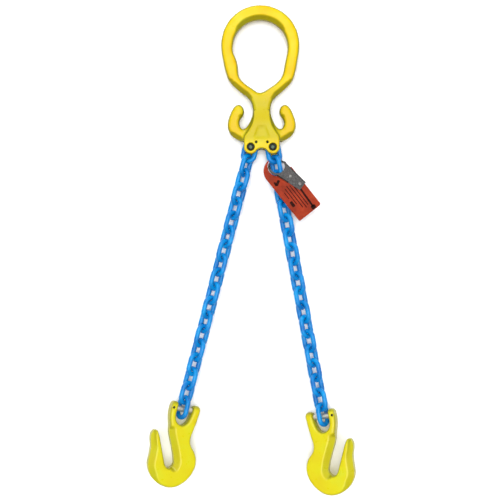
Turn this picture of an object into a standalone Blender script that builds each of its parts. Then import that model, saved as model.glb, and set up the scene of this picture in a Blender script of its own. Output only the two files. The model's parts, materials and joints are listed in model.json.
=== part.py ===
"""Two-leg chain sling with a grab master link, clevis hooks and an identity tag, lying flat on the ground.

Metres, +Z up, +Y towards the master link's ring. The origin is on the ground under the middle of the sling.
"""

import math

import bmesh
import bpy
from mathutils import Matrix, Vector

MM = 0.001
GAP = 0.3 * MM  # what touching pieces keep between them

# Chain: 8 mm round steel, pitch three diameters.
WIRE = 8.0 * MM
LINK_INNER_LENGTH = 24.0 * MM
LINK_INNER_WIDTH = 11.0 * MM
CROWN_RADIUS = (LINK_INNER_WIDTH + WIRE) / 2  # of the wire's centre line
LINK_REACH = (LINK_INNER_LENGTH + WIRE) / 2  # link centre to the crown's wire centre
CROWN_STEPS = 8
LINKS_PER_LEG = 19
FINAL_ROLL = 45.0  # degrees, how far the slack chain has turned about its own length
FIRST_ROLLS = (18.0, -56.0)  # of the first two links on the left leg, mirrored on the right
LEAD_IN_LINKS = (3, 6)  # the chain stays level from the clevis, then comes down to the ground between these
LEAD_IN_SLOPE = -1.6
LEAD_OUT_LINKS = 5  # and rises again to the hook's pin over these
LEAD_OUT_SLOPE = 4.1

# Master link, in its own frame: the origin is midway between the load pins, +Y towards the ring.
HEAD_X, HEAD_Y = 16.9 * MM, 161.8 * MM
HEAD_THICKNESS = 27.0 * MM
RING_THICKNESS = 18.5 * MM
MID_Z = HEAD_THICKNESS / 2
PIN_SPREAD = 17.6 * MM  # half the distance between the load pins
EAR_RADIUS = 11.1 * MM
SLOT_HEIGHT = 14.6 * MM
SLOT_RADIUS = 14.9 * MM
LOAD_PIN_RADIUS = 4.6 * MM
PIN_HEAD_RADIUS = 5.9 * MM
RUNNING_GAP = 0.3 * MM
LOCK_PIN_RADIUS = 1.6 * MM
LOCK_PIN_X, LOCK_PIN_Y = 8.95 * MM, 7.7 * MM
RECESS_DEPTH = 1.6 * MM

# Clevis hook, in its own frame: the origin is on its load pin, +X along the pin, +Y up the load line.
HOOK_THICKNESS = 20.0 * MM
HOOK_ROLL = 21.0
HOOK_SLOPE = 9.0
HOOK_SHIFT = -2.2 * MM
HOOK_PIN_DROP = 3.0 * MM  # below the last link's centre, because the chain lies slack
HOOK_PIN_SPAN = (-19.6 * MM, 24.6 * MM)
HOOK_LOCK_X = -17.2 * MM

# Identity tag on the right leg: a strap whose eye goes round link 2, and the plate below it.
EYE = Vector((41.7, 130.8, 0)) * MM
EYE_INNER, EYE_OUTER = 11.3 * MM, 14.8 * MM
EYE_STEPS = 48
STRAP_THICKNESS = 1.1 * MM
STRAP_LOW, STRAP_HIGH = 0.85 * MM, 28.2 * MM  # under the link and over it
RIGHT_RISE = (101.0, 131.0)  # degrees round the eye from the foot of the leg, where the strap changes height
LEFT_RISE = (76.0, 114.0)
TAIL_TURN = -38.4  # world bearing of the strap's tail
TAIL_LENGTH, TAIL_THICKNESS = 51.2, 1.6 * MM
PLATE_EYE = Vector((41.5, 123.0, 26.4)) * MM
PLATE_TURN = -51.6
PLATE_LENGTH, PLATE_HALF_WIDTH = 84.2, 21.9
PLATE_THICKNESS = 1.6 * MM
RIVET_RADIUS, RIVET_HEAD_RADIUS, RIVET_HEAD = 1.4 * MM, 2.4 * MM, 0.7 * MM
RIVET_PLACES = (26.0 * MM, 45.0 * MM)  # along the tail

YELLOW = (0.93, 0.70, 0.01, 1)
BLUE = (0.0, 0.16, 0.72, 1)
BLACK = (0.02, 0.025, 0.02, 1)
ZINC = (0.72, 0.72, 0.68, 1)
GREY = (0.16, 0.16, 0.145, 1)
ORANGE = (0.58, 0.07, 0.02, 1)


def clear_scene():
    for obj in list(bpy.data.objects):
        bpy.data.objects.remove(obj, do_unlink=True)


def new_collection(name, hidden=False):
    made = bpy.data.collections.new(name)
    bpy.context.scene.collection.children.link(made)
    made.hide_render = hidden
    return made


def new_material(name, colour, roughness, metallic):
    made = bpy.data.materials.new(name)
    made.use_nodes = True
    shader = made.node_tree.nodes["Principled BSDF"]
    shader.inputs["Base Color"].default_value = colour
    shader.inputs["Roughness"].default_value = roughness
    shader.inputs["Metallic"].default_value = metallic
    return made


def add_mesh(name, mesh, collection, material=None):
    obj = bpy.data.objects.new(name, mesh)
    collection.objects.link(obj)
    if material:
        mesh.materials.clear()
        mesh.materials.append(material)
        mesh.shade_smooth()
        mesh.set_sharp_from_angle(angle=math.radians(35))
    return obj


def mesh_of(curve_object):
    """The curve's evaluated mesh with its loose caps welded; the curve goes."""
    bpy.context.view_layer.update()
    graph = bpy.context.evaluated_depsgraph_get()
    mesh = bpy.data.meshes.new_from_object(curve_object.evaluated_get(graph))
    bm = bmesh.new()
    bm.from_mesh(mesh)
    bmesh.ops.remove_doubles(bm, verts=bm.verts, dist=0.01 * MM)
    bmesh.ops.recalc_face_normals(bm, faces=bm.faces)
    bm.to_mesh(mesh)
    bm.free()
    bpy.data.objects.remove(curve_object, do_unlink=True)
    return mesh


def slab(outlines, thickness, edge=0.0, steps=4):
    """A flat shape from closed outlines, centred on z = 0. A point is (x, y) in mm, or (x, y, "corner")."""
    curve = bpy.data.curves.new("outline", "CURVE")
    curve.dimensions = "2D"
    curve.fill_mode = "BOTH"
    curve.resolution_u = steps
    curve.extrude = thickness / 2 - edge
    curve.bevel_depth = edge
    curve.bevel_resolution = 1
    curve.offset = -edge
    for points in outlines:
        spline = curve.splines.new("BEZIER")
        spline.bezier_points.add(len(points) - 1)
        spline.use_cyclic_u = True
        for place, point in zip(spline.bezier_points, points):
            place.co = (point[0] * MM, point[1] * MM, 0)
            kind = "VECTOR" if len(point) > 2 else "AUTO"
            place.handle_left_type = place.handle_right_type = kind
    obj = bpy.data.objects.new("outline", curve)
    bpy.context.scene.collection.objects.link(obj)
    return mesh_of(obj)


def tube(points, radius, closed=False):
    """A round wire along points in metres, with eight sides."""
    curve = bpy.data.curves.new("wire", "CURVE")
    curve.dimensions = "3D"
    curve.bevel_depth = radius
    curve.bevel_resolution = 2
    curve.use_fill_caps = not closed
    spline = curve.splines.new("POLY")
    spline.points.add(len(points) - 1)
    spline.use_cyclic_u = closed
    for place, point in zip(spline.points, points):
        place.co = (*point, 1)
    obj = bpy.data.objects.new("wire", curve)
    bpy.context.scene.collection.objects.link(obj)
    return mesh_of(obj)


def rod(start, end, radius, sides=24):
    """A cylinder between two points."""
    start, end = Vector(start), Vector(end)
    bm = bmesh.new()
    bmesh.ops.create_cone(
        bm, cap_ends=True, segments=sides, radius1=radius, radius2=radius, depth=(end - start).length
    )
    turn = (end - start).to_track_quat("Z", "Y").to_matrix().to_4x4()
    bm.transform(Matrix.Translation((start + end) / 2) @ turn)
    mesh = bpy.data.meshes.new("rod")
    bm.to_mesh(mesh)
    bm.free()
    return mesh


def combine(obj, mesh, operation, cutters):
    """Adds a Boolean with another mesh, which follows obj."""
    other = add_mesh(f"{obj.name}_{operation.lower()}_{len(obj.modifiers)}", mesh, cutters)
    other.matrix_world = obj.matrix_world
    other.hide_render = True
    other.display_type = "WIRE"
    modifier = obj.modifiers.new(operation.title(), "BOOLEAN")
    modifier.operation = operation
    modifier.object = other
    modifier.solver = "EXACT"


def mirrored(points):
    """The same outline points on the other side of x = 0, in reverse order."""
    return [(-p[0], *p[1:]) for p in reversed(points)]


def arc(centre, radius, start, end, steps):
    """Points in mm on an arc from one angle to another, in degrees."""
    turns = [math.radians(start + (end - start) * i / steps) for i in range(steps + 1)]
    return [(centre[0] + radius * math.cos(t), centre[1] + radius * math.sin(t)) for t in turns]


# ---------------------------------------------------------------- master link


def head_plate_outlines():
    """The pear ring, its two arms, the shank and both wings, as one outline and the ring's opening."""
    wing = [
        (14.2, 62), (14.4, 54), (18.4, 42), (25.3, 31.5), (30.2, 29.2), (34.6, 34),
        (34.6, 44), (29.2, 52), (28.2, 59), (32, 66.2), (38.2, 68.3), (45, 63),
        (50.6, 52), (54, 41), (54.2, 31), (50.6, 22.5), (46, 17.5), (34.2, 10.5), (24, 6),
    ]
    right = [(17.9, 75.5), (34.6, 91.5), (48.8, 106.5), (53.6, 119.5), (57.2, 138), (60.0, 157)]
    left = [(-64.6, 157), (-61.6, 138), (-57.4, 120), (-52.2, 106.9), (-37, 91.5), (-18.6, 75.5)]
    crown = arc((-2.2, 165.0), 62.4, 8, 172, 8)
    outer = wing[::-1] + right + crown + left + [(-x, y) for x, y in wing]
    inside = arc((-2.4, 161.2), 43.4, 5, 175, 8)
    left_inside = [(-45.6, 152), (-42.4, 144.5), (-38.9, 134), (-37.9, 124), (-36.5, 114), (-32.2, 107)]
    vee = [(-16, 94.4), (-2.4, 87.4), (11.4, 94.4)]
    right_inside = [(28.6, 108), (33.6, 117), (36.4, 130), (39.0, 144), (40.9, 153)]
    return outer, inside + left_inside + vee + right_inside


def head_block_outline():
    """The thick clevis end: a flared block with an ear round each load pin."""
    pin, ear = PIN_SPREAD / MM, EAR_RADIUS / MM
    side = [(11.4, 58), (12.2, 50), (15.5, 38), (21, 27), (27.5, 17)]
    around = arc((pin, 0), ear, 15, -125, 5)
    waist = [(5, -3.2), (0, -2.4)]
    half = side + around + waist
    return half + mirrored(half[:-1])


def slot_outline():
    """The room for the first link about a load pin at the origin, hanging straight down or swung 60 degrees."""
    reach, radius = 60.0, SLOT_RADIUS / MM
    far = [(reach * math.cos(a) - radius * math.sin(a), reach * math.sin(a) + radius * math.cos(a))
           for a in (math.radians(-30),)]
    round_top = arc((0, 0), radius, 60, 180, 8)
    points = far + round_top + [(-radius, -reach), (reach, -reach)]
    return [(x, y, "corner") for x, y in points]


def head_recess_outline():
    return [(x, y, "corner") for x, y in ((-5.8, 33.5), (5.8, 33.5), (12.6, 13.5), (-12.6, 13.5))]


def build_head(parts, cutters, yellow):
    obj = add_mesh("master_head", slab(head_plate_outlines(), RING_THICKNESS, 5 * MM, 3), parts, yellow)
    obj.location = (HEAD_X, HEAD_Y, MID_Z)
    bpy.context.view_layer.update()
    combine(obj, slab([head_block_outline()], HEAD_THICKNESS, 1.6 * MM), "UNION", cutters)
    slot = slab([slot_outline()], SLOT_HEIGHT)
    for side in (1, -1):
        room = slot.copy()
        room.transform(Matrix.Translation((side * PIN_SPREAD, 0, 0)) @ Matrix.Diagonal((side, 1, 1, 1)))
        if side < 0:
            room.flip_normals()
        combine(obj, room, "DIFFERENCE", cutters)
    top, bore = HEAD_THICKNESS, LOAD_PIN_RADIUS + RUNNING_GAP
    holes = []
    for x in (PIN_SPREAD, -PIN_SPREAD):
        holes.append(rod((x, 0, -top), (x, 0, 0.002), bore))
        holes.append(rod((x, 0, 0.001), (x, 0, top), PIN_HEAD_RADIUS + RUNNING_GAP))
    for x in (LOCK_PIN_X, -LOCK_PIN_X):
        holes.append(rod((x, LOCK_PIN_Y, top / 2 - 7 * MM), (x, LOCK_PIN_Y, top), LOCK_PIN_RADIUS + GAP, 12))
    recess = slab([head_recess_outline()], 2 * RECESS_DEPTH)
    recess.transform(Matrix.Translation((0, 0, HEAD_THICKNESS / 2)))
    for hole in holes:
        combine(obj, hole, "DIFFERENCE", cutters)
    combine(obj, recess, "DIFFERENCE", cutters)


def build_head_pins(parts, steel):
    """A shouldered load pin in each clevis, dropped in from above, and the small pin that locks it."""
    shoulder = SLOT_HEIGHT / 2 + 0.6 * MM
    profile = [
        (PIN_HEAD_RADIUS - 0.6 * MM, HEAD_THICKNESS / 2 - 0.8 * MM),
        (PIN_HEAD_RADIUS, HEAD_THICKNESS / 2 - 1.4 * MM),
        (PIN_HEAD_RADIUS, shoulder),
        (LOAD_PIN_RADIUS, shoulder),
        (LOAD_PIN_RADIUS, -HEAD_THICKNESS / 2 + 1.4 * MM),
        (LOAD_PIN_RADIUS - 0.6 * MM, -HEAD_THICKNESS / 2 + 0.8 * MM),
    ]
    turned_pin = turned(profile)
    for side, name in ((-1, "left"), (1, "right")):
        pin = add_mesh(f"{name}_head_load_pin", turned_pin, parts, steel)
        pin.location = (HEAD_X + side * PIN_SPREAD, HEAD_Y, MID_Z)
        lock = rod((0, 0, HEAD_THICKNESS / 2 - 6 * MM), (0, 0, HEAD_THICKNESS / 2 - 0.6 * MM), LOCK_PIN_RADIUS, 12)
        lock_pin = add_mesh(f"{name}_head_lock_pin", lock, parts, steel)
        lock_pin.location = (HEAD_X + side * LOCK_PIN_X, HEAD_Y + LOCK_PIN_Y, MID_Z)


def turned(profile, steps=24):
    """A solid turned about Z from (radius, height) points, top to bottom."""
    bm = bmesh.new()
    rows = [(0, profile[0][1]), *profile, (0, profile[-1][1])]
    points = [bm.verts.new((x, 0, z)) for x, z in rows]
    edges = [bm.edges.new(pair) for pair in zip(points, points[1:])]
    bmesh.ops.spin(
        bm, geom=points + edges, axis=(0, 0, 1), cent=(0, 0, 0), angle=math.tau, steps=steps, use_merge=True
    )
    bmesh.ops.remove_doubles(bm, verts=bm.verts, dist=0.01 * MM)
    bmesh.ops.recalc_face_normals(bm, faces=bm.faces)
    mesh = bpy.data.meshes.new("turned")
    bm.to_mesh(mesh)
    bm.free()
    return mesh


# ---------------------------------------------------------------------- chain


def link_mesh():
    """A link in its own XY plane, its length along Y."""
    straight = LINK_REACH - CROWN_RADIUS
    points = []
    for centre, start in ((straight, 0), (-straight, 180)):
        for i in range(CROWN_STEPS + 1):
            turn = math.radians(start + 180 * i / CROWN_STEPS)
            points.append((CROWN_RADIUS * math.cos(turn), centre + CROWN_RADIUS * math.sin(turn), 0))
    return tube(points, WIRE / 2, closed=True)


def frame_matrix(place, sideways, along):
    """A frame at place whose X is sideways and whose Y is along."""
    normal = sideways.cross(along).normalized()
    turn = Matrix((sideways.normalized(), along.normalized(), normal)).transposed()
    return Matrix.Translation(place) @ turn.to_4x4()


class Leg:
    """Where each link of a leg lies. side is -1 for the left leg and 1 for the right."""

    def __init__(self, side, splay, first_drop, slack):
        self.side, self.splay = side, math.radians(splay)
        self.pin = Vector((HEAD_X + side * PIN_SPREAD, HEAD_Y, MID_Z))
        self.across = Vector((math.cos(self.splay), side * math.sin(self.splay), 0))
        self.frames = []
        centre = self.pin + self.down(self.slope(1)) * first_drop
        for number in range(1, LINKS_PER_LEG + 1):
            here = self.down(self.slope(number))
            if number > 1:
                before = self.down(self.slope(number - 1))
                centre = centre + before * LINK_REACH + here * (LINK_REACH - WIRE - slack)
            self.frames.append(frame_matrix(centre, self.rolled(self.roll(number), here), -here))
        self.end = centre

    def down(self, slope):
        """The unit vector down the leg at a slope in degrees, positive rising."""
        flat = Vector((self.side * math.sin(self.splay), -math.cos(self.splay), 0))
        slope = math.radians(slope)
        return flat * math.cos(slope) + Vector((0, 0, math.sin(slope)))

    def slope(self, number):
        if LEAD_IN_LINKS[0] <= number <= LEAD_IN_LINKS[1]:
            return LEAD_IN_SLOPE
        return LEAD_OUT_SLOPE if number > LINKS_PER_LEG - LEAD_OUT_LINKS else 0.0

    def roll(self, number):
        if number <= len(FIRST_ROLLS):
            return -self.side * FIRST_ROLLS[number - 1]
        return -self.side * FINAL_ROLL * (1 if number % 2 else -1)

    def rolled(self, roll, down):
        """The direction across the leg, turned up by roll degrees."""
        up = self.across.cross(-down)
        roll = math.radians(roll)
        return self.across * math.cos(roll) + up * math.sin(roll)


LEGS = {
    "left": Leg(-1, splay=14.6, first_drop=5.9 * MM, slack=0.5 * MM),
    "right": Leg(1, splay=10.65, first_drop=7.3 * MM, slack=0.3 * MM),
}


def build_chain(parts, blue):
    mesh = link_mesh()
    for name, leg in LEGS.items():
        for number, frame in enumerate(leg.frames, 1):
            link = add_mesh(f"{name}_link_{number:02d}", mesh, parts, blue)
            link.matrix_world = frame


# ----------------------------------------------------------------------- hooks


def hook_outline():
    """The fork round the last link, the leaning shank, the bowl and the point, in the hook's plane."""
    slot = [(6.4, -24.6), (-2.4, -22), (-7.2, -14), (-8.0, 2)]
    near_ear = [(-9, 9.6), (-13, 12), (-17.4, 8.5), (-18.9, 0), (-17.6, -15)]
    throat = [(-13.2, -28), (-10.0, -40), (-3.6, -53), (3.2, -66), (8.6, -78), (10.4, -86),
              (5.2, -93), (-2.4, -91.5), (-8.4, -82), (-15.2, -68), (-21.2, -56)]
    point = [(-27.2, -44.8), (-32.6, -39.8), (-37.2, -44)]
    bowl = [(-37.4, -54), (-33.4, -66), (-31.8, -81), (-30.8, -94), (-24.6, -106.4), (-13, -116.6), (2, -122.0),
            (17, -121.2), (29.4, -114), (39.4, -102), (45.0, -87), (44.6, -74), (38.4, -61.6), (29.2, -52)]
    neck = [(26.0, -43), (27.6, -26), (29.6, -4)]
    far_ear = [(29.0, 7), (24.6, 10.6), (19.0, 8), (17.4, 0), (15.4, -12), (12.4, -20)]
    return slot + near_ear + throat + point + bowl + neck + far_ear


def hook_side_outline():
    """The hook seen along its pin: a round end on the pin, then flanks of constant thickness."""
    half = HOOK_THICKNESS / 2 / MM
    reach = 140.0
    points = [(half, -reach), *arc((0, 0), half, 0, 180, 12), (-half, -reach)]
    return [(x, y, "corner") for x, y in points]


def hook_frame(leg):
    """The hook's frame on a leg. The right-hand hook is turned over, so it mirrors the left one."""
    down = leg.down(HOOK_SLOPE)
    place = leg.end + leg.down(leg.slope(LINKS_PER_LEG)) * HOOK_PIN_DROP
    return frame_matrix(place, leg.rolled(leg.side * HOOK_ROLL, down) * -leg.side, -down)


def hook_meshes():
    """The hook's body, the side profile that trims it, and the holes through its ears."""
    body = slab([hook_outline()], HOOK_THICKNESS, 3.8 * MM, 3)
    body.transform(Matrix.Translation((HOOK_SHIFT, 0, 0)))
    side = slab([hook_side_outline()], 120 * MM)
    side.transform(Matrix.Rotation(math.radians(90), 4, "Y"))
    bore = rod((HOOK_PIN_SPAN[0] - GAP, 0, 0), (60 * MM, 0, 0), LOAD_PIN_RADIUS + RUNNING_GAP)
    return body, side, bore


def lock_hole(radius, reach):
    return rod((HOOK_LOCK_X, 0, -reach), (HOOK_LOCK_X, 0, reach), radius, 12)


def build_hooks(parts, cutters, yellow, zinc, black):
    body, side, bore = hook_meshes()
    lock_radius = LOCK_PIN_RADIUS + GAP
    half = HOOK_THICKNESS / 2
    for name, leg in LEGS.items():
        frame = hook_frame(leg)
        hook = add_mesh(f"{name}_hook", body, parts, yellow)
        pin = add_mesh(f"{name}_hook_load_pin", rod((HOOK_PIN_SPAN[0], 0, 0), (HOOK_PIN_SPAN[1], 0, 0),
                                                    LOAD_PIN_RADIUS), parts, zinc)
        lock = add_mesh(f"{name}_hook_lock_pin", lock_hole(LOCK_PIN_RADIUS, half - 0.8 * MM), parts, black)
        for obj in (hook, pin, lock):
            obj.matrix_world = frame
        bpy.context.view_layer.update()
        combine(hook, side, "INTERSECT", cutters)
        combine(hook, bore, "DIFFERENCE", cutters)
        combine(hook, lock_hole(lock_radius, 2 * half), "DIFFERENCE", cutters)
        combine(pin, lock_hole(lock_radius, 2 * half), "DIFFERENCE", cutters)


# ------------------------------------------------------------------------- tag


def smooth_step(value, start, end):
    share = min(max((value - start) / (end - start), 0.0), 1.0)
    return share * share * (3 - 2 * share)


def strap_height(turn):
    """Height of the strap at degrees round the eye from the foot of the leg, positive to the right."""
    start, end = RIGHT_RISE if turn > 0 else LEFT_RISE
    return STRAP_HIGH + (STRAP_LOW - STRAP_HIGH) * smooth_step(abs(turn), start, end)


def eye_mesh(foot_turn):
    """The strap's eye: round in plan, over the link on one side and under it on the other."""
    step = 360 / EYE_STEPS
    bm = bmesh.new()
    rings = []
    for i in range(EYE_STEPS):
        turn = -180 + i * step
        rise = (strap_height(turn + step / 2) - strap_height(turn - step / 2)) / math.radians(step) / EYE_OUTER
        half = STRAP_THICKNESS / 2 * math.sqrt(1 + rise * rise)
        height = max(strap_height(turn), half + STRAP_LOW - STRAP_THICKNESS / 2)
        angle = math.radians(foot_turn + turn)
        section = []
        for radius, lift in ((EYE_INNER, -half), (EYE_OUTER, -half), (EYE_OUTER, half), (EYE_INNER, half)):
            section.append(bm.verts.new((radius * math.cos(angle), radius * math.sin(angle), height + lift)))
        rings.append(section)
    for before, after in zip(rings, rings[1:] + rings[:1]):
        for k in range(4):
            n = (k + 1) % 4
            bm.faces.new((before[k], before[n], after[n], after[k]))
    bmesh.ops.recalc_face_normals(bm, faces=bm.faces)
    mesh = bpy.data.meshes.new("eye")
    bm.to_mesh(mesh)
    bm.free()
    return mesh


def tail_outline():
    """The strap's tail, from the eye to its square end."""
    middle = (EYE_INNER + EYE_OUTER) / 2 / MM
    hollow = arc((0, 0), middle, 56, -56, 7)
    sides = [(8.0, -12.2), (TAIL_LENGTH, -7.7), (TAIL_LENGTH, 7.7), (8.0, 12.2)]
    return [(x, y, "corner") for x, y in hollow + sides]


def plate_points():
    """From the square end's corner, round the far side and back round the cut-out."""
    wide, long = PLATE_HALF_WIDTH, PLATE_LENGTH
    cut_centre, cut_radius = (-6.0, 5.0), 15.6
    near_side = arc((0, 0), wide, 270, 158, 7)
    cut = arc(cut_centre, cut_radius, 178, 400, 9)
    points = [(long - 3, wide), (long, wide - 3), (long, 3 - wide), (long - 3, -wide)]
    shoulder = [(8, wide)]
    return [(x, y, "corner") for x, y in points + near_side + cut + shoulder]


def rivet_profile():
    """A rivet with a flat head at each end, from the strap's middle plane, top to bottom."""
    top = TAIL_THICKNESS / 2 + GAP
    bottom = PLATE_EYE.z - PLATE_THICKNESS / 2 - STRAP_HIGH - GAP
    return [
        (RIVET_HEAD_RADIUS, top + RIVET_HEAD),
        (RIVET_HEAD_RADIUS, top),
        (RIVET_RADIUS, top),
        (RIVET_RADIUS, bottom),
        (RIVET_HEAD_RADIUS, bottom),
        (RIVET_HEAD_RADIUS, bottom - RIVET_HEAD),
    ]


def build_tag(parts, cutters, grey, orange, zinc):
    foot_turn = math.degrees(LEGS["right"].splay) - 90
    strap = add_mesh("tag_strap", eye_mesh(foot_turn), parts, grey)
    strap.location = EYE
    bpy.context.view_layer.update()
    tail_frame = Matrix.Translation((0, 0, STRAP_HIGH)) @ Matrix.Rotation(math.radians(TAIL_TURN), 4, "Z")
    tail = slab([tail_outline()], TAIL_THICKNESS)
    tail.transform(tail_frame)
    combine(strap, tail, "UNION", cutters)
    plate = add_mesh("tag_plate", slab([plate_points()], PLATE_THICKNESS), parts, orange)
    plate.matrix_world = Matrix.Translation(PLATE_EYE) @ Matrix.Rotation(math.radians(PLATE_TURN), 4, "Z")
    bpy.context.view_layer.update()
    for number, reach in enumerate(RIVET_PLACES, 1):
        rivet = add_mesh(f"tag_rivet_{number:02d}", turned(rivet_profile(), 12), parts, zinc)
        rivet.matrix_world = Matrix.Translation(EYE) @ tail_frame @ Matrix.Translation((reach, 0, 0))
        for obj in (strap, plate):
            hole = rod((0, 0, -8 * MM), (0, 0, 8 * MM), RIVET_RADIUS + GAP, 12)
            hole.transform(obj.matrix_world.inverted() @ rivet.matrix_world)
            combine(obj, hole, "DIFFERENCE", cutters)


def main():
    clear_scene()
    parts = new_collection("chain_sling")
    cutters = new_collection("cutters", hidden=True)
    yellow = new_material("yellow_paint", YELLOW, 0.32, 0.0)
    blue = new_material("blue_paint", BLUE, 0.28, 0.0)
    black = new_material("black_steel", BLACK, 0.35, 0.8)
    zinc = new_material("zinc_plate", ZINC, 0.35, 0.9)
    grey = new_material("grey_strap", GREY, 0.6, 0.0)
    orange = new_material("orange_plate", ORANGE, 0.4, 0.0)
    build_head(parts, cutters, yellow)
    build_head_pins(parts, black)
    build_chain(parts, blue)
    build_hooks(parts, cutters, yellow, zinc, black)
    build_tag(parts, cutters, grey, orange, zinc)


main()
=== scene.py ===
"""The looks of the two-leg chain sling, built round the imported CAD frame. Metres, +Z up, seen from above."""

import json
import math

import bmesh
import bpy
import numpy as np
from mathutils import Matrix, Vector
from mathutils.kdtree import KDTree

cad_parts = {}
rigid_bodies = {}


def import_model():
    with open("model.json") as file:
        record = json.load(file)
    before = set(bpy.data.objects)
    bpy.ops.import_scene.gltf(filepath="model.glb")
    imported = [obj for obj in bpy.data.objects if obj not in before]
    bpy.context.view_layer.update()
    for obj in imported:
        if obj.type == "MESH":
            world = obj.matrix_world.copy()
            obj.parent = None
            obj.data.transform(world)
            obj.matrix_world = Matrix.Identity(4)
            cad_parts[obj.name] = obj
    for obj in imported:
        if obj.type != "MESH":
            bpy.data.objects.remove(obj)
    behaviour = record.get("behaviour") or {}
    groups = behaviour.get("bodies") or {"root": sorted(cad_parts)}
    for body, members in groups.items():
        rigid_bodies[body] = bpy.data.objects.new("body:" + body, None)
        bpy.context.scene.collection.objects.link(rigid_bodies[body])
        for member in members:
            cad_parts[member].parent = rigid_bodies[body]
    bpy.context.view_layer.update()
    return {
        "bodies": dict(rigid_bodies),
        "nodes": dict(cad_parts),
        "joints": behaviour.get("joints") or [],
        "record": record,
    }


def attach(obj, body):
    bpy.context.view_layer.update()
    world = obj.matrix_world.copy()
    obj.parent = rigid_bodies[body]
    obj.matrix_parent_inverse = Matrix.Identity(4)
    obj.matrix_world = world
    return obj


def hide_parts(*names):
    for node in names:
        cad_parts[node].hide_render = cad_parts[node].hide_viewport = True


MM = 0.001
SIDES = ("left", "right")
LINKS_PER_LEG = 19

# Camera: straight above the middle of the picture.
CAMERA_PLACE = (-1.8 * MM, -2.0 * MM, 1.312)
CAMERA_SPAN = 0.802  # metres of ground across the picture
GROUND_MIDDLE_Z = 0.012

FLOOR_HALF = 12.0
FLOOR_DROP = 0.2 * MM  # below the sling's lowest points, so that no faces coincide

# Light: watts of the lamp, and strength of the white room at its dim side, its bright side and overhead.
KEY_PLACE, KEY_SIZE = (-0.6, 2.2, 1.9), (0.5, 0.4)
KEY_POWER = 26.0
WORLD_DIM, WORLD_BRIGHT, WORLD_TOP = 0.4, 0.7, 5.2

# Chain link, as in the CAD, but with a slightly thinner wire so that turning links clear each other.
WIRE_RADIUS = 4.0 * MM
WIRE_EASE = 0.15 * MM
CROWN_RADIUS = 9.5 * MM
LINK_REACH = 16.0 * MM
LINK_PATH_STEPS = 72
LINK_SIDES = 20
WELD_SWELL, WELD_LENGTH = 0.15 * MM, 2.2 * MM

# Forged pieces. The rounds say how often the mesh is smoothed.
FORGED_VOXEL = 0.85 * MM
FIRST_ROUNDS, FILLET_ROUNDS, LAST_ROUNDS = 20, 80, 30
HEAD_TOP, RING_TOP = 13.5 * MM, 9.25 * MM  # half thicknesses of the head's block and of its ring
NECK_TOP_Y, BLOCK_TOP_Y = 67.0 * MM, 34.0 * MM  # the block's ramp, measured from its pins
LIME_END_Y, LIME_FADE, GRAB_X = 108.0 * MM, 38.0 * MM, 24.0 * MM  # where a lime tone is painted on the head, a painted light tone for the neck and block
HOOK_LIME = 0.35
PIN_HEAD_RADIUS, PIN_RADIUS = 5.9 * MM, 4.6 * MM
LOCK_RADIUS = 1.6 * MM
LOCK_X, LOCK_Y = 8.95 * MM, 7.7 * MM  # the head's lock pins, from the middle of its load pins

# Identity tag, in the CAD's sizes. Lengths without MM are in mm.
FOOT_TURN = 10.65 - 90  # world bearing of the foot of the right leg, degrees
EYE_INNER, EYE_OUTER = 11.3 * MM, 14.8 * MM
EYE_STEPS = 180
STRAP_THICKNESS = 1.1 * MM
STRAP_LOW, STRAP_HIGH = 0.85 * MM, 28.2 * MM
RIGHT_RISE, LEFT_RISE = (101.0, 131.0), (76.0, 114.0)
TAIL_TURN, TAIL_LENGTH, TAIL_THICKNESS = -38.4, 51.2, 1.6 * MM
PLATE_TURN, PLATE_LENGTH, PLATE_HALF_WIDTH = -51.6, 84.2, 21.9
PLATE_THICKNESS, PLATE_Z = 1.6 * MM, 26.4 * MM
PLATE_CUT, PLATE_CUT_RADIUS = (-6.0, 5.0), 15.6  # the hollow round the strap's eye, in mm
RIVET_PLACES = (26.0 * MM, 45.0 * MM)

# Lines and blocks on the plate, in mm: start, end and width.
PLATE_STROKES = (
    ((44.0, 11.4), (79.0, 9.8), 3.2), ((76.4, 9.8), (83.2, 9.8), 7.6),
    ((36.0, 5.6), (72.0, 5.2), 1.4), ((30.0, 1.2), (74.0, 0.8), 1.4), ((28.0, -3.4), (70.0, -3.8), 1.4),
    ((30.0, -8.0), (60.0, -8.4), 1.3), ((51.0, -13.6), (61.0, -13.8), 5.0),
    ((34.0, -12.6), (46.0, -12.8), 1.2),
    ((10.8, -14.9), (17.8, -15.6), 3.2), ((17.3, -15.2), (12.8, -7.0), 4.2),
)


def srgb(red, green, blue):
    """A display colour from 0 to 255 as the linear colour a shader takes."""
    parts = [c / 255 for c in (red, green, blue)]
    return (*[c / 12.92 if c <= 0.04045 else ((c + 0.055) / 1.055) ** 2.4 for c in parts], 1)


# ------------------------------------------------------------------ materials


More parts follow.
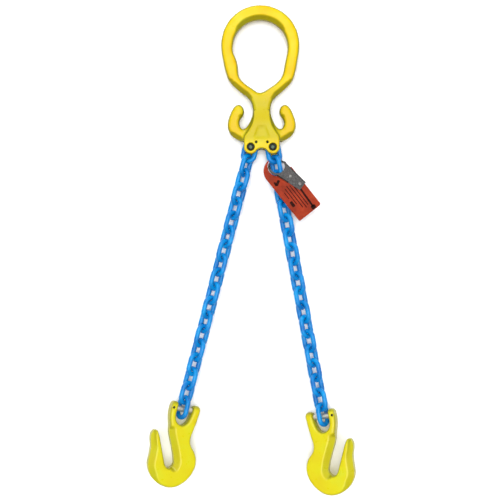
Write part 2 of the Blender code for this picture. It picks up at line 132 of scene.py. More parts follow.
class Shader:
    """A Principled material with short ways to add the nodes used here."""

    def __init__(self, name, roughness, metallic=0.0, coat=0.0, gloss=0.5):
        self.material = bpy.data.materials.new(name)
        self.material.use_nodes = True
        self.tree = self.material.node_tree
        self.main = self.tree.nodes["Principled BSDF"]
        self.main.inputs["Roughness"].default_value = roughness
        self.main.inputs["Metallic"].default_value = metallic
        self.main.inputs["Coat Weight"].default_value = coat
        self.main.inputs["Specular IOR Level"].default_value = gloss
        self.main.inputs["Coat Roughness"].default_value = 0.12
        self.place = self.tree.nodes.new("ShaderNodeTexCoord").outputs["Object"]

    def node(self, kind, **values):
        made = self.tree.nodes.new(kind)
        for key, value in values.items():
            if key in made.inputs:
                made.inputs[key].default_value = value
            else:
                setattr(made, key, value)
        return made

    def link(self, out, into):
        self.tree.links.new(out, into)

    def noise(self, scale, detail=3.0, roughness=0.5):
        made = self.node("ShaderNodeTexNoise", Scale=scale, Detail=detail, Roughness=roughness)
        self.link(self.place, made.inputs["Vector"])
        return made.outputs["Fac"]

    def ramp(self, value, stops):
        made = self.node("ShaderNodeValToRGB")
        elements = made.color_ramp.elements
        while len(elements) < len(stops):
            elements.new(0.5)
        for element, (place, colour) in zip(elements, stops):
            element.position = place
            element.color = colour
        self.link(value, made.inputs["Fac"])
        return made.outputs["Color"]

    def mix(self, share, first, second):
        made = self.node("ShaderNodeMix", data_type="RGBA")
        self.feed(share, made.inputs[0])
        self.feed(first, made.inputs[6])
        self.feed(second, made.inputs[7])
        return made.outputs[2]

    def feed(self, value, into):
        if isinstance(value, bpy.types.NodeSocket):
            self.link(value, into)
        else:
            into.default_value = value

    def maths(self, operation, first, second=0.0, clamp=False):
        made = self.node("ShaderNodeMath", operation=operation, use_clamp=clamp)
        self.feed(first, made.inputs[0])
        self.feed(second, made.inputs[1])
        return made.outputs[0]

    def attribute(self, name):
        return self.node("ShaderNodeAttribute", attribute_name=name).outputs["Fac"]

    def bump(self, height, strength, distance):
        made = self.node("ShaderNodeBump", Strength=strength, Distance=distance)
        self.link(height, made.inputs["Height"])
        before = self.main.inputs["Normal"]
        if before.is_linked:
            self.link(before.links[0].from_socket, made.inputs["Normal"])
        self.link(made.outputs["Normal"], before)

    def vary_roughness(self, value, low, high):
        made = self.node("ShaderNodeMapRange")
        self.link(value, made.inputs["Value"])
        made.inputs["To Min"].default_value = low
        made.inputs["To Max"].default_value = high
        self.link(made.outputs[0], self.main.inputs["Roughness"])


def yellow_paint(name, gloss, lime, wall_shade_share):
    """Thick glossy enamel over a forging: tone drifts to lime, on the head's neck and block as a painted light
    tone; hollows and steep walls get painted olive shade; high edges are rubbed.
    """
    made = Shader(name, 0.34, gloss=gloss)
    drift = made.ramp(
        made.noise(28, 4),
        [(0.3, srgb(206, 164, 0)), (0.55, srgb(208, 180, 0)), (0.8, srgb(194, 190, 42))],
    )
    # Lime by the 'tint' attribute: on the head's neck and block a painted light tone, on the hooks an even
    # tint of their own colour.
    drift = made.mix(made.attribute("tint"), drift, lime)
    # Painted shade: hollows, where the surface bends inward, are darkened to olive.
    hollow = made.maths("MULTIPLY", made.attribute("hollow"), 0.75, clamp=True)
    toned = made.mix(hollow, drift, srgb(160, 160, 26))
    # Painted shade: steep walls are darkened to dark olive, more on the head than on the hooks.
    wall = made.maths("MULTIPLY", made.attribute("wall"), wall_shade_share, clamp=True)
    toned = made.mix(wall, toned, srgb(104, 106, 6))
    speck = made.maths("GREATER_THAN", made.noise(900, 2), 0.66)
    scuffed = made.maths("MULTIPLY", made.attribute("edge"), speck, clamp=True)
    rubbed = made.mix(made.maths("MULTIPLY", scuffed, 0.55), toned, srgb(150, 122, 40))
    made.link(rubbed, made.main.inputs["Base Color"])
    made.vary_roughness(made.noise(160, 3), 0.2, 0.42)
    made.bump(made.noise(75, 4, 0.55), 0.35, 0.9 * MM)
    made.bump(made.noise(1300, 2), 0.12, 0.12 * MM)
    return made.material


def blue_paint():
    """Glossy blue lacquer, a little thin on the crowns where links rub."""
    made = Shader("blue_lacquer", 0.28, gloss=0.25)
    drift = made.ramp(
        made.noise(60, 3),
        [(0.3, srgb(0, 95, 168)), (0.55, srgb(0, 122, 190)), (0.8, srgb(0, 146, 208))],
    )
    speck = made.maths("GREATER_THAN", made.noise(700, 2), 0.6)
    rub = made.maths("MULTIPLY", made.attribute("rub"), speck, clamp=True)
    rubbed = made.mix(made.maths("MULTIPLY", rub, 0.6), drift, srgb(84, 110, 140))
    made.link(rubbed, made.main.inputs["Base Color"])
    made.vary_roughness(made.noise(220, 3), 0.16, 0.36)
    made.bump(made.noise(260, 3), 0.25, 0.35 * MM)
    return made.material


def black_steel():
    """Dark blackened steel of the pins in the head."""
    made = Shader("blackened_steel", 0.42, metallic=0.85)
    made.link(
        made.ramp(made.noise(500, 3), [(0.35, srgb(14, 16, 12)), (0.7, srgb(36, 40, 32))]),
        made.main.inputs["Base Color"],
    )
    made.vary_roughness(made.noise(900, 3), 0.3, 0.55)
    made.bump(made.noise(1500, 2), 0.2, 0.08 * MM)
    return made.material


def pin_face():
    """The dull green-grey face left in the middle of a pin's head."""
    made = Shader("phosphated_steel", 0.5, metallic=0.5)
    made.link(
        made.ramp(made.noise(700, 4), [(0.35, srgb(52, 70, 52)), (0.7, srgb(92, 110, 88))]),
        made.main.inputs["Base Color"],
    )
    made.bump(made.noise(1600, 3), 0.3, 0.1 * MM)
    return made.material


def zinc_plate():
    """Pale zinc plating of the hooks' load pins."""
    made = Shader("zinc_plated_steel", 0.3, metallic=0.9)
    made.link(
        made.ramp(made.noise(300, 4), [(0.3, srgb(188, 186, 172)), (0.7, srgb(226, 224, 210))]),
        made.main.inputs["Base Color"],
    )
    made.vary_roughness(made.noise(800, 3), 0.22, 0.42)
    made.bump(made.noise(1800, 2), 0.15, 0.06 * MM)
    return made.material


def dull_steel():
    """Dull grey steel of the rivet heads."""
    made = Shader("dull_rivet_steel", 0.5, metallic=0.6)
    made.link(
        made.ramp(made.noise(500, 3), [(0.3, srgb(96, 96, 94)), (0.7, srgb(136, 134, 130))]),
        made.main.inputs["Base Color"],
    )
    made.bump(made.noise(1500, 2), 0.2, 0.08 * MM)
    return made.material


def strap_webbing():
    """Grey coated webbing: a fine cross weave under a worn coating."""
    made = Shader("grey_webbing", 0.62, gloss=0.25)
    made.link(
        made.ramp(
            made.noise(420, 5, 0.7),
            [(0.3, srgb(46, 46, 45)), (0.55, srgb(74, 72, 72)), (0.8, srgb(106, 102, 102))],
        ),
        made.main.inputs["Base Color"],
    )
    weave = made.node("ShaderNodeTexVoronoi", Scale=1250.0, distance="CHEBYCHEV")
    made.link(made.place, weave.inputs["Vector"])
    made.bump(weave.outputs["Distance"], 0.6, 0.18 * MM)
    made.bump(made.noise(300, 4), 0.3, 0.3 * MM)
    return made.material


def dark_edge_and_shadow():
    """Black binding along the strap's edges, the thick lower bead also a painted shadow of the strap on the
    plate.
    """
    made = Shader("black_binding_and_shadow", 0.55, gloss=0.2)
    made.link(
        made.ramp(made.noise(600, 3), [(0.3, srgb(16, 15, 14)), (0.7, srgb(46, 44, 40))]),
        made.main.inputs["Base Color"],
    )
    made.bump(made.noise(1500, 2), 0.3, 0.1 * MM)
    return made.material


def orange_plate():
    """Moulded red-orange plate with a scuffed, slightly uneven colour."""
    made = Shader("orange_plate", 0.55, gloss=0.08)
    drift = made.ramp(
        made.noise(45, 4, 0.6),
        [(0.3, srgb(104, 30, 10)), (0.55, srgb(140, 42, 14)), (0.8, srgb(164, 58, 24))],
    )
    grime = made.maths("GREATER_THAN", made.noise(260, 4, 0.7), 0.62)
    scuffed = made.mix(made.maths("MULTIPLY", grime, 0.25), drift, srgb(128, 36, 20))
    made.link(scuffed, made.main.inputs["Base Color"])
    made.vary_roughness(made.noise(300, 3), 0.3, 0.55)
    made.bump(made.noise(700, 3), 0.25, 0.12 * MM)
    return made.material


def plate_ink():
    """Nearly black ink of the ruled marks."""
    made = Shader("ruled_ink", 0.6, gloss=0.05)
    made.link(
        made.ramp(made.noise(500, 4), [(0.35, srgb(16, 6, 4)), (0.7, srgb(56, 20, 12))]),
        made.main.inputs["Base Color"],
    )
    made.bump(made.noise(1200, 2), 0.2, 0.05 * MM)
    return made.material


# ----------------------------------------------------------------- mesh helpers


def new_piece(name, mesh, material, body, matrix=None, replaces=()):
    """A piece from a mesh, put in place, smooth shaded, riding on its body."""
    if matrix is not None:
        mesh = mesh.copy()
        mesh.transform(matrix)
    if not mesh.materials:
        mesh.materials.append(material)
    piece = bpy.data.objects.new(name, mesh)
    bpy.context.scene.collection.objects.link(piece)
    bpy.context.view_layer.update()
    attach(piece, body)
    if replaces:
        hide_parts(*replaces)
    return piece


def mesh_from(bm, name, sharp=None):
    """The bmesh as a smooth mesh, with edges over sharp degrees kept crisp."""
    bmesh.ops.recalc_face_normals(bm, faces=bm.faces)
    mesh = bpy.data.meshes.new(name)
    bm.to_mesh(mesh)
    bm.free()
    mesh.shade_smooth()
    if sharp:
        mesh.set_sharp_from_angle(angle=math.radians(sharp))
    return mesh


def baked(obj):
    """The object's modifiers applied, as a mesh of its own. The object goes."""
    bpy.context.view_layer.update()
    graph = bpy.context.evaluated_depsgraph_get()
    mesh = bpy.data.meshes.new_from_object(obj.evaluated_get(graph))
    bpy.data.objects.remove(obj, do_unlink=True)
    return mesh


def points_of(mesh):
    found = np.empty(len(mesh.vertices) * 3, np.float32)
    mesh.vertices.foreach_get("co", found)
    return found.reshape(-1, 3).astype(np.float64)


def move_points(mesh, points):
    mesh.vertices.foreach_set("co", points.astype(np.float32).ravel())
    mesh.update()


def normals_of(mesh):
    found = np.empty(len(mesh.vertices) * 3, np.float32)
    mesh.vertices.foreach_get("normal", found)
    return found.reshape(-1, 3)


def edge_ends(mesh):
    """The vertex at each edge's start, and the one at its end."""
    ends = np.empty(len(mesh.edges) * 2, np.int32)
    mesh.edges.foreach_get("vertices", ends)
    return ends.reshape(-1, 2).T


def skin(bm, rings):
    """Faces from each ring of vertices to the next, all the way round."""
    for before, after in zip(rings, rings[1:]):
        for k in range(len(before)):
            n = (k + 1) % len(before)
            bm.faces.new((before[k], before[n], after[n], after[k]))


def frame_matrix(place, x_axis, y_axis):
    """A frame at a place, with X along one direction and Y as near as it can be to the other."""
    x_axis = Vector(x_axis).normalized()
    y_axis = Vector(y_axis)
    y_axis = (y_axis - x_axis * y_axis.dot(x_axis)).normalized()
    turn = Matrix((x_axis, y_axis, x_axis.cross(y_axis))).transposed()
    return Matrix.Translation(Vector(place)) @ turn.to_4x4()


def main_axes(mesh):
    """Centre of a mesh's vertices and their three principal directions, the longest first."""
    points = points_of(mesh)
    centre = (points.max(axis=0) + points.min(axis=0)) / 2
    _, axes = np.linalg.eigh(np.cov((points - points.mean(axis=0)).T))
    return centre, axes[:, ::-1].T


def local_span(mesh, matrix, axis):
    """Lowest and highest place of a CAD node along one axis of a frame."""
    turn = np.array(matrix.inverted())
    places = points_of(mesh) @ turn[:3, :3].T + turn[:3, 3]
    return float(places[:, axis].min()), float(places[:, axis].max())


def smooth_step(value, start, end):
    share = min(max((value - start) / (end - start), 0.0), 1.0)
    return share * share * (3 - 2 * share)


def add_relief(mesh, tint, blur=6):
    """Stores how convex ('edge'), hollow, steep ('wall') and lime ('tint') the surface is at each vertex. The
    enamel paints shade by 'hollow' and 'wall'.
    """
    points = points_of(mesh)
    count = len(points)
    first, second = edge_ends(mesh)
    normals = normals_of(mesh)
    degree = np.bincount(first, minlength=count) + np.bincount(second, minlength=count)
    reach = points[second] - points[first]
    length = np.maximum(np.linalg.norm(reach, axis=1), 1e-9)
    bend = np.bincount(first, -(reach * normals[first]).sum(axis=1) / length**2, count)
    bend += np.bincount(second, (reach * normals[second]).sum(axis=1) / length**2, count)
    bend /= np.maximum(degree, 1)
    for _ in range(blur):
        spread = np.bincount(first, bend[second], count) + np.bincount(second, bend[first], count)
        bend = 0.4 * bend + 0.6 * spread / np.maximum(degree, 1)
    steep = (0.97 - np.abs(normals[:, 2])) / 0.3
    values = {
        "edge": (bend - 70) / 160,
        "hollow": (-bend - 8) / 60,
        "wall": steep,
        "tint": tint * np.ones(count),
    }
    for name, value in values.items():
        layer = mesh.attributes.new(name, "FLOAT", "POINT")
        layer.data.foreach_set("value", np.clip(value, 0, 1).astype(np.float32))


def lathe(name, profile, steps=48, sharp=35):
    """A solid turned about Z from (radius, height) points. Its ends are on the axis."""
    bm = bmesh.new()
    points = [bm.verts.new((radius, 0, height)) for radius, height in profile]
    edges = [bm.edges.new(pair) for pair in zip(points, points[1:])]
    bmesh.ops.spin(bm, geom=points + edges, axis=(0, 0, 1), cent=(0, 0, 0), angle=math.tau, steps=steps)
    bmesh.ops.remove_doubles(bm, verts=bm.verts, dist=0.002 * MM)
    return mesh_from(bm, name, sharp)


def tube_mesh(name, points, radius, sides=10):
    """A round bead along points, closed at both ends."""
    bm = bmesh.new()
    rings = []
    for i, point in enumerate(points):
        ahead = (points[min(i + 1, len(points) - 1)] - points[max(i - 1, 0)]).normalized()
        side = ahead.cross(Vector((0, 0, 1))).normalized()
        up = side.cross(ahead)
        ring = []
        for k in range(sides):
            turn = math.tau * k / sides
            ring.append(bm.verts.new(point + (side * math.cos(turn) + up * math.sin(turn)) * radius))
        rings.append(ring)
    skin(bm, rings)
    bm.faces.new(rings[0])
    bm.faces.new(rings[-1])
    return mesh_from(bm, name)


# ---------------------------------------------------------------------- chain


def link_mesh():
    """A chain link in its own frame, +Y along it: a round wire with the swell of its weld on one side."""
    straight = LINK_REACH - CROWN_RADIUS
    arc, side = math.pi * CROWN_RADIUS, 2 * straight
    total = 2 * (arc + side)
    bm = bmesh.new()
    rings, rubs = [], []
    for i in range(LINK_PATH_STEPS):
        at = total * i / LINK_PATH_STEPS
        centre, outward = link_path(at, straight, arc, side)
        weld = math.exp(-((centre.y / WELD_LENGTH) ** 2)) if centre.x < 0 else 0.0
        radius = WIRE_RADIUS - WIRE_EASE + WELD_SWELL * weld
        ring = []
        for k in range(LINK_SIDES):
            turn = math.tau * k / LINK_SIDES
            reach = outward * math.cos(turn) + Vector((0, 0, 1)) * math.sin(turn)
            ring.append(bm.verts.new(centre + reach * radius))
            inside = max(0.0, -math.cos(turn)) * max(0.0, abs(centre.y) / LINK_REACH - 0.6) * 2.4
            rubs.append(min(1.0, inside))
        rings.append(ring)
    skin(bm, rings + rings[:1])
    bm.verts.index_update()
    mesh = mesh_from(bm, "link")
    layer = mesh.attributes.new("rub", "FLOAT", "POINT")
    layer.data.foreach_set("value", np.array(rubs, np.float32))
    return mesh


def link_path(at, straight, arc, side):
    """The wire's centre and its outward direction at a distance along the link."""
    if at < arc:
        turn = at / CROWN_RADIUS
        out = Vector((math.cos(turn), math.sin(turn), 0))
        return Vector((0, straight, 0)) + out * CROWN_RADIUS, out
    if at < arc + side:
        return Vector((-CROWN_RADIUS, straight - (at - arc), 0)), Vector((-1, 0, 0))
    if at < 2 * arc + side:
        turn = math.pi + (at - arc - side) / CROWN_RADIUS
        out = Vector((math.cos(turn), math.sin(turn), 0))
        return Vector((0, -straight, 0)) + out * CROWN_RADIUS, out
    return Vector((CROWN_RADIUS, -straight + (at - 2 * arc - side), 0)), Vector((1, 0, 0))


def build_chain(nodes, material):
    mesh = link_mesh()
    for side in SIDES:
        for number in range(1, LINKS_PER_LEG + 1):
            node = f"{side}_link_{number:02d}"
            centre, axes = main_axes(nodes[node].data)
            along = axes[0] if axes[0][1] > 0 else -axes[0]
            across = axes[1] if axes[1][2] > 0 else -axes[1]
            new_piece(
                f"{side}_chain_link_{number:02d}", mesh, material, node,
                frame_matrix(centre, across, along), [node],
            )


# -------------------------------------------------------------- forged pieces


def forged(node_mesh, matrix, voxel, smooth, keep):
    """The CAD shape in its own frame, softened like a forging. keep(points) is 0 where it stays crisp."""
    mesh = node_mesh.copy()
    mesh.materials.clear()
    mesh.transform(matrix.inverted())
    work = bpy.data.objects.new("forging", mesh)
    bpy.context.scene.collection.objects.link(work)
    remesh = work.modifiers.new("Remesh", "REMESH")
    remesh.mode = "VOXEL"
    remesh.voxel_size = voxel
    mesh = baked(work)
    soften(mesh, smooth, keep)
    return mesh


def soften(mesh, rounds, keep, back=0.34):
    """Moves each vertex to its neighbours' mean as far as keep allows. Every other round steps back."""
    points = points_of(mesh)
    count = len(points)
    first, second = edge_ends(mesh)
    degree = np.maximum(np.bincount(first, minlength=count) + np.bincount(second, minlength=count), 1)
    share = keep(points)[:, None]
    for i in range(rounds):
        mean = np.stack(
            [np.bincount(first, points[second, k], count) + np.bincount(second, points[first, k], count)
             for k in range(3)], axis=1) / degree[:, None]
        step = 0.5 if i % 2 == 0 else -back
        points = points + (mean - points) * step * share
    move_points(mesh, points)


def chamfered(mesh, toward, width, depth, tops, share):
    """Slopes the upper face, at height tops, down towards the walls that face one way, like a draft."""
    points = points_of(mesh)
    normals = normals_of(mesh)
    wall = np.flatnonzero((np.abs(normals[:, 2]) < 0.3) & (share > 0.3))
    tree = KDTree(len(wall))
    for i in wall:
        tree.insert((points[i, 0], points[i, 1], 0), int(i))
    tree.balance()
    for i in np.flatnonzero(points[:, 2] > tops * 0.3):
        _, nearest, away = tree.find((points[i, 0], points[i, 1], 0))
        facing = max(0.0, float(normals[nearest, :2] @ np.array(toward)))
        reach = width * smooth_step(facing, 0.15, 0.8)
        if away < reach:
            fall = depth * (1 - away / reach) * share[i] * reach / width
            points[i, 2] = min(points[i, 2], tops[i] - fall)
    move_points(mesh, points)


def slope_neck(mesh):
    """Ramps both faces of the head down from the block to the thinner ring."""
    points = points_of(mesh)
    rise = np.clip((NECK_TOP_Y - points[:, 1]) / (NECK_TOP_Y - BLOCK_TOP_Y), 0, 1)
    cap = RING_TOP + (HEAD_TOP - RING_TOP) * rise * rise * (3 - 2 * rise)
    points[:, 2] = np.clip(points[:, 2], -cap, cap)
    move_points(mesh, points)


def below_ears(points):
    """1 on a hook's body, falling to 0 at the ears that hold its pin."""
    return np.clip((-28 * MM - points[:, 1]) / (5 * MM), 0, 1)


def above_ears(points):
    """1 over the master link and its side hooks, falling to 0 at the ears that hold the head's pins."""
    high = np.clip((points[:, 1] - 16 * MM) / (5 * MM), 0, 1)
    wide = np.clip((np.abs(points[:, 0]) - 30 * MM) / (3 * MM), 0, 1)
    return np.maximum(high, wide)


def filleted(mesh, rounds, keep):
    """Fills the hollow corners with the soft fillets of a forging."""
    add_relief(mesh, 0.0, blur=10)
    hollow = np.empty(len(mesh.vertices), np.float32)
    mesh.attributes["hollow"].data.foreach_get("value", hollow)
    for name in ("edge", "hollow", "wall", "tint"):
        mesh.attributes.remove(mesh.attributes[name])
    share = np.clip(hollow * 3, 0, 1)

    def keep_hollows(points):
        return keep(points) * share

    soften(mesh, rounds, keep_hollows, back=0.0)


def lime_light_tone_share(points):
    """How much of the painted light tone, in lime, the head's enamel takes: not on the ring or round the pins,
    most on the neck and the block.
    """
    along = np.clip((LIME_END_Y - points[:, 1]) / LIME_FADE, 0, 1)
    aside = np.clip((np.abs(points[:, 0]) - GRAB_X) / (10 * MM), 0, 1)
    above = np.clip((points[:, 1] - 2 * MM) / (14 * MM), 0.15, 1)
    return 0.75 * along * above * (1 - 0.6 * aside)


def near(points, centre, radius, fade):
    """0 within radius of a line through centre along Z, rising to 1 over fade."""
    away = np.hypot(points[:, 0] - centre[0], points[:, 1] - centre[1])
    return np.clip((away - radius) / fade, 0, 1)


def build_head(nodes, joints, enamel, black, face):
    left, right = (Vector(joints[f"{side}_leg_swing"]["pos_m"]) for side in SIDES)
    middle = (left + right) / 2
    matrix = Matrix.Translation(middle)
    spread = (right - left).length / 2

    def keep(points):
        share = np.ones(len(points))
        for side in (1, -1):
            share = share * near(points, (side * spread, 0), 6.8 * MM, 3 * MM)
            share = share * near(points, (side * LOCK_X, LOCK_Y), 2.2 * MM, 1.5 * MM)
        return share

    mesh = forged(nodes["master_head"].data, matrix, FORGED_VOXEL, FIRST_ROUNDS, keep)
    points = points_of(mesh)
    tops = np.where(points[:, 2] > RING_TOP + 0.2 * MM, HEAD_TOP, RING_TOP)
    chamfered(mesh, (0, -1), 6.5 * MM, 6.5 * MM, tops, above_ears(points))
    slope_neck(mesh)
    filleted(mesh, FILLET_ROUNDS, keep)
    soften(mesh, LAST_ROUNDS, keep)
    add_relief(mesh, lime_light_tone_share(points_of(mesh)))
    mesh.shade_smooth()
    new_piece("master_link_forging", mesh, enamel, "master_link", matrix, ["master_head"])
    build_head_pins(middle, spread, black, face)


def build_head_pins(middle, spread, black, face):
    top, shoulder = 12.7 * MM, 7.9 * MM
    profile = [
        (0, top - 1.1 * MM), (2.7 * MM, top - 1.1 * MM), (3.0 * MM, top - 0.5 * MM),
        (3.5 * MM, top - 0.1 * MM),
        (5.2 * MM, top), (PIN_HEAD_RADIUS - 0.15 * MM, top - 0.5 * MM), (PIN_HEAD_RADIUS, top - 1.0 * MM),
        (PIN_HEAD_RADIUS, shoulder), (PIN_RADIUS, shoulder), (PIN_RADIUS, -top + 0.9 * MM),
        (PIN_RADIUS - 0.9 * MM, -top), (0, -top),
    ]
    disc = [
        (0, top - 0.75 * MM), (1.6 * MM, top - 0.78 * MM), (2.6 * MM, top - 1.0 * MM),
        (2.6 * MM, top - 1.3 * MM), (0, top - 1.3 * MM),
    ]
    pin_mesh, disc_mesh = lathe("head_pin", profile), lathe("head_pin_face", disc)
    lock_mesh = spring_pin("lock_pin", LOCK_RADIUS, 7.5 * MM, 12.9 * MM)
    for side, name in ((-1, "left"), (1, "right")):
        place = Matrix.Translation(middle + Vector((side * spread, 0, 0)))
        new_piece(f"{name}_clevis_pin", pin_mesh, black, "master_link", place,
                  [f"{name}_head_load_pin"])
        new_piece(f"{name}_clevis_pin_face", disc_mesh, face, "master_link", place)
        place = Matrix.Translation(middle + Vector((side * LOCK_X, LOCK_Y, 0)))
        new_piece(f"{name}_clevis_lock_pin", lock_mesh, black, "master_link", place,
                  [f"{name}_head_lock_pin"])


def spring_pin(name, radius, low, high, steps=28, slit=24):
    """A rolled spring pin: a thin tube with a slit down one side."""
    bm = bmesh.new()
    wall = 0.45 * radius
    chamfer = 0.25 * MM
    profile = [
        (radius - wall, low), (radius - chamfer, low), (radius, low + chamfer),
        (radius, high - chamfer), (radius - chamfer, high), (radius - wall, high),
    ]
    rings = []
    for i in range(steps + 1):
        turn = math.radians(slit / 2 + (360 - slit) * i / steps)
        rings.append([bm.verts.new((r * math.cos(turn), r * math.sin(turn), z)) for r, z in profile])
    skin(bm, rings)
    bm.faces.new(rings[0])
    bm.faces.new(rings[-1][::-1])
    return mesh_from(bm, name, 35)


# ---------------------------------------------------------------------- hooks


def hook_matrix(node_mesh, joint):
    """The hook's frame: X along its pin, Y up its load line, Z out of its upper face."""
    _, axes = main_axes(node_mesh)
    normal = Vector(axes[2])
    if normal.z < 0:
        normal = -normal
    across = Vector(joint["axis"]).normalized()
    normal = (normal - across * normal.dot(across)).normalized()
    along = normal.cross(across)
    if along.y < 0:
        across, along = -across, -along
    return frame_matrix(joint["pos_m"], across, along)


def build_hooks(nodes, joints, enamel, zinc, black):
    rod = lathe("hook_pin", [(0, 22.0 * MM), (3.9 * MM, 22.0 * MM), (PIN_RADIUS, 21.2 * MM),
                             (PIN_RADIUS, -21.2 * MM), (3.9 * MM, -22.0 * MM), (0, -22.0 * MM)])
    for side in SIDES:
        joint = joints[f"{side}_hook_swing"]
        matrix = hook_matrix(nodes[f"{side}_hook"].data, joint)

        def keep(points):
            away = np.hypot(points[:, 1], points[:, 2])
            return np.clip((away - 5.6 * MM) / (2.5 * MM), 0, 1)

        mesh = forged(nodes[f"{side}_hook"].data, matrix, FORGED_VOXEL, FIRST_ROUNDS, keep)
        throat = -1 if side == "left" else 1
        points = points_of(mesh)
        tops = np.full(len(points), points[:, 2].max())
        chamfered(mesh, (throat, 0), 9 * MM, 7 * MM, tops, below_ears(points))
        soften(mesh, LAST_ROUNDS, keep)
        add_relief(mesh, HOOK_LIME)
        mesh.shade_smooth()
        hook = f"{side}_hook"
        new_piece(f"{hook}_forging", mesh, enamel, hook, matrix, [hook])
        pin_low, pin_high = local_span(nodes[f"{side}_hook_load_pin"].data, matrix, 0)
        middle = Matrix.Translation(((pin_low + pin_high) / 2, 0, 0))
        place = matrix @ middle @ Matrix.Rotation(math.pi / 2, 4, "Y")
        new_piece(f"{hook}_pin", rod, zinc, hook, place, [f"{hook}_load_pin"])
        lock = nodes[f"{side}_hook_lock_pin"].data
        low, high = local_span(lock, matrix, 2)
        x_low, x_high = local_span(lock, matrix, 0)
        roll_pin = spring_pin("hook_lock", LOCK_RADIUS, low, high)
        place = matrix @ Matrix.Translation(((x_low + x_high) / 2, 0, 0))
        new_piece(f"{hook}_roll_pin", roll_pin, black, hook, place, [f"{hook}_lock_pin"])


# ------------------------------------------------------------------------- tag


def strap_height(turn):
    """Height of the strap's eye at degrees round it from the foot of the leg, positive to the right."""
    start, end = RIGHT_RISE if turn > 0 else LEFT_RISE
    return STRAP_HIGH + (STRAP_LOW - STRAP_HIGH) * smooth_step(abs(turn), start, end)


def eye_mesh():
    """The strap's eye: round in plan, over the link on one side and under it on the other."""
    bm = bmesh.new()
    step = 360 / EYE_STEPS
    rings = []
    for i in range(EYE_STEPS):
        turn = -180 + i * step
        climb = strap_height(turn + step / 2) - strap_height(turn - step / 2)
        rise = climb / math.radians(step) / EYE_OUTER
        half = STRAP_THICKNESS / 2 * math.sqrt(1 + rise * rise)
        height = max(strap_height(turn), half + STRAP_LOW - STRAP_THICKNESS / 2)
        angle = math.radians(FOOT_TURN + turn)
        ring = []
        for radius, lift in eye_section(half):
            ring.append(bm.verts.new((radius * math.cos(angle), radius * math.sin(angle), height + lift)))
        rings.append(ring)
    skin(bm, rings + rings[:1])
    return mesh_from(bm, "strap_eye", 50)


def eye_section(half):
    """Radius and lift round the strap's section, with its corners rounded."""
    ease = 0.35 * MM
    drop = half * 0.35
    return [
        (EYE_INNER, -half + drop), (EYE_INNER + ease, -half),
        (EYE_OUTER - ease, -half), (EYE_OUTER, -half + drop),
        (EYE_OUTER, half - drop), (EYE_OUTER - ease, half),
        (EYE_INNER + ease, half), (EYE_INNER, half - drop),
    ]


def arc(centre, radius, start, end, steps):
    """Points in mm on an arc from one angle to another, in degrees."""
    turns = [math.radians(start + (end - start) * i / steps) for i in range(steps + 1)]
    return [(centre[0] + radius * math.cos(t), centre[1] + radius * math.sin(t)) for t in turns]


def rounded(points, radius, steps=5):
    """The outline in mm with each corner cut to a curve of about that radius."""
    made = []
    for i, here in enumerate(points):
        here = Vector(here)
        before, after = Vector(points[i - 1]), Vector(points[(i + 1) % len(points)])
        cut = min(radius, (before - here).length * 0.45, (after - here).length * 0.45)
        start = here + (before - here).normalized() * cut
        end = here + (after - here).normalized() * cut
        for k in range(steps + 1):
            t = k / steps
            made.append(start * (1 - t) ** 2 + here * 2 * t * (1 - t) + end * t * t)
    return made


def sheet_mesh(name, points, thickness, edge):
    """A flat shape in mm from an outline, centred on z = 0, with eased edges."""
    curve = bpy.data.curves.new(name, "CURVE")
    curve.dimensions = "2D"
    curve.fill_mode = "BOTH"
    curve.extrude = thickness / 2 - edge
    curve.bevel_depth = edge
    curve.bevel_resolution = 2
    curve.offset = -edge
    spline = curve.splines.new("POLY")
    spline.points.add(len(points) - 1)
    spline.use_cyclic_u = True
    for place, (x, y) in zip(spline.points, points):
        place.co = (x * MM, y * MM, 0, 1)
    work = bpy.data.objects.new(name, curve)
    bpy.context.scene.collection.objects.link(work)
    mesh = baked(work)
    bm = bmesh.new()
    bm.from_mesh(mesh)
    bmesh.ops.remove_doubles(bm, verts=bm.verts, dist=0.005 * MM)
    return mesh_from(bm, name, 35)


def united(first, second, name):
    """Two closed meshes joined by a Boolean."""
    bottom, top = (bpy.data.objects.new(name, mesh) for mesh in (first, second))
    for obj in (bottom, top):
        bpy.context.scene.collection.objects.link(obj)
    join = bottom.modifiers.new("Join", "BOOLEAN")
    join.operation, join.object, join.solver = "UNION", top, "EXACT"
    mesh = baked(bottom)
    bpy.data.objects.remove(top, do_unlink=True)
    mesh.shade_smooth()
    mesh.set_sharp_from_angle(angle=math.radians(40))
    return mesh


def bar_mesh(name, start, end, width, thickness=0.14):
    """A thin raised stroke between two points in mm."""
    start, end = Vector(start), Vector(end)
    side = (end - start).normalized().orthogonal() * width / 2
    return sheet_mesh(name, rounded([start + side, start - side, end - side, end + side], width * 0.3, 3),
                      thickness * MM, 0.04 * MM)


